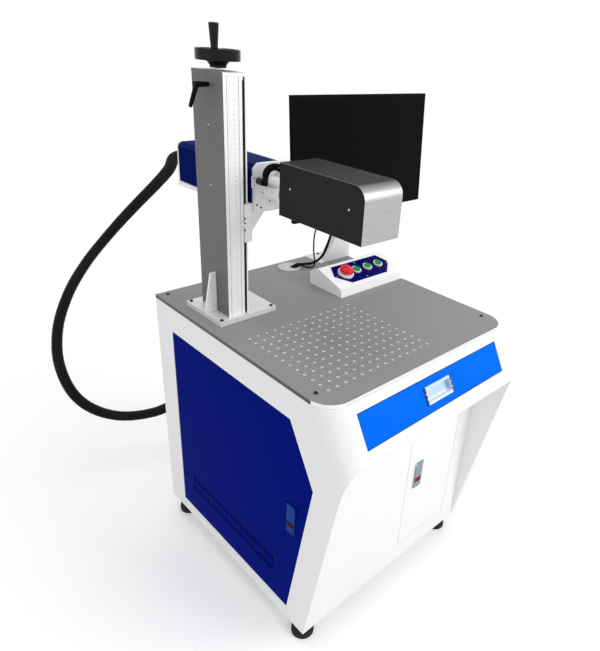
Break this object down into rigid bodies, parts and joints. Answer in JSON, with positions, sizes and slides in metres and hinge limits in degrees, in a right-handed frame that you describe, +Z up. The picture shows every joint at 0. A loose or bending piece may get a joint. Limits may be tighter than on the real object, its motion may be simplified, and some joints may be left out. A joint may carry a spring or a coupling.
{
  "type": "laser marking machine",
  "caption": "Cabinet laser marking machine: drilled worktop, hand-lifted column with laser housing and scan head, control box, monitor on a stand, drawer and service doors.",
  "frame": {"origin": "on the floor, under the middle of the bounding box without the free hose and cables", "axes": "+Z up, -Y towards the operator, +X to the operator's right"},
  "size_m": [1.0568, 1.334, 1.4283],
  "materials": {
    "cabinet_white": "fine-textured powder coat",
    "door_navy": "satin powder coat",
    "drawer_azure": "satin powder coat",
    "housing_navy": "blue anodised extrusion",
    "plate_navy": "gloss lacquer",
    "foot_black": "moulded",
    "worktop_grey": "blasted and anodised",
    "screw_steel": "bright",
    "column_silver": "clear anodised",
    "monitor_black": "fine-textured with a glossy screen",
    "cable_black": "smooth sheath",
    "grommet_grey": "moulded",
    "unit_grey": "fine-textured powder coat",
    "head_dark": "dark anodised with a brushed front",
    "lens_black": "black anodised with a coated glass",
    "nut_bronze": "machined bronze",
    "wheel_black": "polished phenolic",
    "stop_red": "moulded",
    "button_green": "moulded",
    "mirror_coat": "coated glass",
    "hose_grey": "corrugated, black"
  },
  "bodies": {
    "machine": {"cabinet_base": "cabinet_white", "cabinet_side_left": "cabinet_white", "cabinet_side_right": "cabinet_white", "rear_panel": "cabinet_white", "front_apron": "cabinet_white", "front_frame": "cabinet_white", "levelling_feet": "foot_black", "worktop": "worktop_grey", "cap_screws": "screw_steel", "column_base": "column_silver", "column_profile": "column_silver", "column_cap": "column_silver", "column_gusset": "column_silver", "monitor_stand": "cabinet_white", "monitor": "monitor_black", "monitor_power_cable": "cable_black", "monitor_signal_cable": "cable_black", "cable_grommet": "grommet_grey", "control_box": "cabinet_white", "control_plate": "plate_navy", "button_bezels": "column_silver", "laser_source": "unit_grey", "control_computer": "unit_grey", "rear_glands": "foot_black", "drawer_slides": "screw_steel", "corrugated_hose": "hose_grey"},
    "carriage": {"slider": "column_silver", "carriage_bracket": "cabinet_white", "laser_housing": "housing_navy", "housing_rear_plate": "column_silver", "housing_flange": "column_silver", "beam_tube": "column_silver", "laser_module": "unit_grey", "housing_hose_gland": "foot_black", "galvo_cables": "cable_black", "galvo_block": "column_silver", "galvo_motors": "unit_grey", "scan_lens": "lens_black", "head_cover": "head_dark", "lead_nut": "nut_bronze"},
    "screw": {"lead_screw": "screw_steel", "handwheel": "wheel_black"},
    "crank": {"crank_handle": "wheel_black"},
    "clamp": {"lock_lever": "foot_black"},
    "drawer": {"drawer_tray": "cabinet_white", "drawer_front": "drawer_azure", "drawer_pull": "column_silver"},
    "door_front": {"front_door": "cabinet_white"},
    "catch_front": {"front_latch": "screw_steel"},
    "door_left": {"side_door_left": "door_navy"},
    "catch_left": {"side_latch_left": "screw_steel"},
    "door_right": {"side_door_right": "door_navy"},
    "catch_right": {"side_latch_right": "screw_steel"},
    "stop": {"emergency_stop": "stop_red"},
    "button_1": {"green_button_1": "button_green"},
    "button_2": {"green_button_2": "button_green"},
    "button_3": {"green_button_3": "button_green"},
    "scan_x": {"mirror_x": "mirror_coat"},
    "scan_y": {"mirror_y": "mirror_coat"}
  },
  "joints": [
    {"name": "carriage_lift", "type": "slide", "parent": "machine", "child": "carriage", "axis": [0, 0, 1], "range_m": [-0.15, 0.18], "deforming": ["corrugated_hose"]},
    {"name": "handwheel_turn", "type": "hinge", "parent": "machine", "child": "screw", "pos_m": [-0.34615, 0.13675, 1.358], "axis": [0, 0, 1], "range_deg": [-12962, 10802]},
    {"name": "crank_spin", "type": "hinge", "parent": "screw", "child": "crank", "pos_m": [-0.3707, 0.11042, 1.398], "axis": [0, 0, 1], "continuous": true},
    {"name": "clamp_turn", "type": "hinge", "parent": "machine", "child": "clamp", "pos_m": [-0.38515, 0.13175, 1.3105], "axis": [1, 0, 0], "range_deg": [-45, 30]},
    {"name": "drawer_slide", "type": "slide", "parent": "machine", "child": "drawer", "axis": [0, -1, 0], "range_m": [0, 0.33]},
    {"name": "front_door_swing", "type": "hinge", "parent": "machine", "child": "door_front", "pos_m": [0.11385, -0.31525, 0.355], "axis": [0, 0, 1], "range_deg": [0, 110]},
    {"name": "front_latch_lift", "type": "hinge", "parent": "door_front", "child": "catch_front", "pos_m": [-0.04165, -0.32175, 0.4015], "axis": [-1, 0, 0], "range_deg": [0, 45]},
    {"name": "left_door_swing", "type": "hinge", "parent": "machine", "child": "door_left", "pos_m": [-0.43615, 0.24075, 0.395], "axis": [0, 0, -1], "range_deg": [0, 110]},
    {"name": "left_latch_lift", "type": "hinge", "parent": "door_left", "child": "catch_left", "pos_m": [-0.44265, -0.26175, 0.454], "axis": [0, 1, 0], "range_deg": [0, 45]},
    {"name": "right_door_swing", "type": "hinge", "parent": "machine", "child": "door_right", "pos_m": [0.20585, 0.24075, 0.395], "axis": [0, 0, 1], "range_deg": [0, 110]},
    {"name": "right_latch_lift", "type": "hinge", "parent": "door_right", "child": "catch_right", "pos_m": [0.21235, -0.26175, 0.454], "axis": [0, -1, 0], "range_deg": [0, 45]},
    {"name": "stop_push", "type": "slide", "parent": "machine", "child": "stop", "axis": [0, 0.3044, -0.9525], "range_m": [0, 0.005]},
    {"name": "green_push_1", "type": "slide", "parent": "machine", "child": "button_1", "axis": [0, 0.3044, -0.9525], "range_m": [0, 0.003], "stiffness_N_per_m": 600, "springref_m": -0.003},
    {"name": "green_push_2", "type": "slide", "parent": "machine", "child": "button_2", "axis": [0, 0.3044, -0.9525], "range_m": [0, 0.003], "stiffness_N_per_m": 600, "springref_m": -0.003},
    {"name": "green_push_3", "type": "slide", "parent": "machine", "child": "button_3", "axis": [0, 0.3044, -0.9525], "range_m": [0, 0.003], "stiffness_N_per_m": 600, "springref_m": -0.003},
    {"name": "scan_x_turn", "type": "hinge", "parent": "carriage", "child": "scan_x", "pos_m": [-0.25535, -0.16475, 1.0915], "axis": [0, 0, 1], "range_deg": [-12, 12], "stiffness_Nm_per_rad": 0.002},
    {"name": "scan_y_turn", "type": "hinge", "parent": "carriage", "child": "scan_y", "pos_m": [-0.22385, -0.16475, 1.0915], "axis": [0, 1, 0], "range_deg": [-12, 12], "stiffness_Nm_per_rad": 0.002}
  ],
  "couplings": [
    {"joint": "handwheel_turn", "follows": "carriage_lift", "rad_per_m": -1256.6}
  ]
}
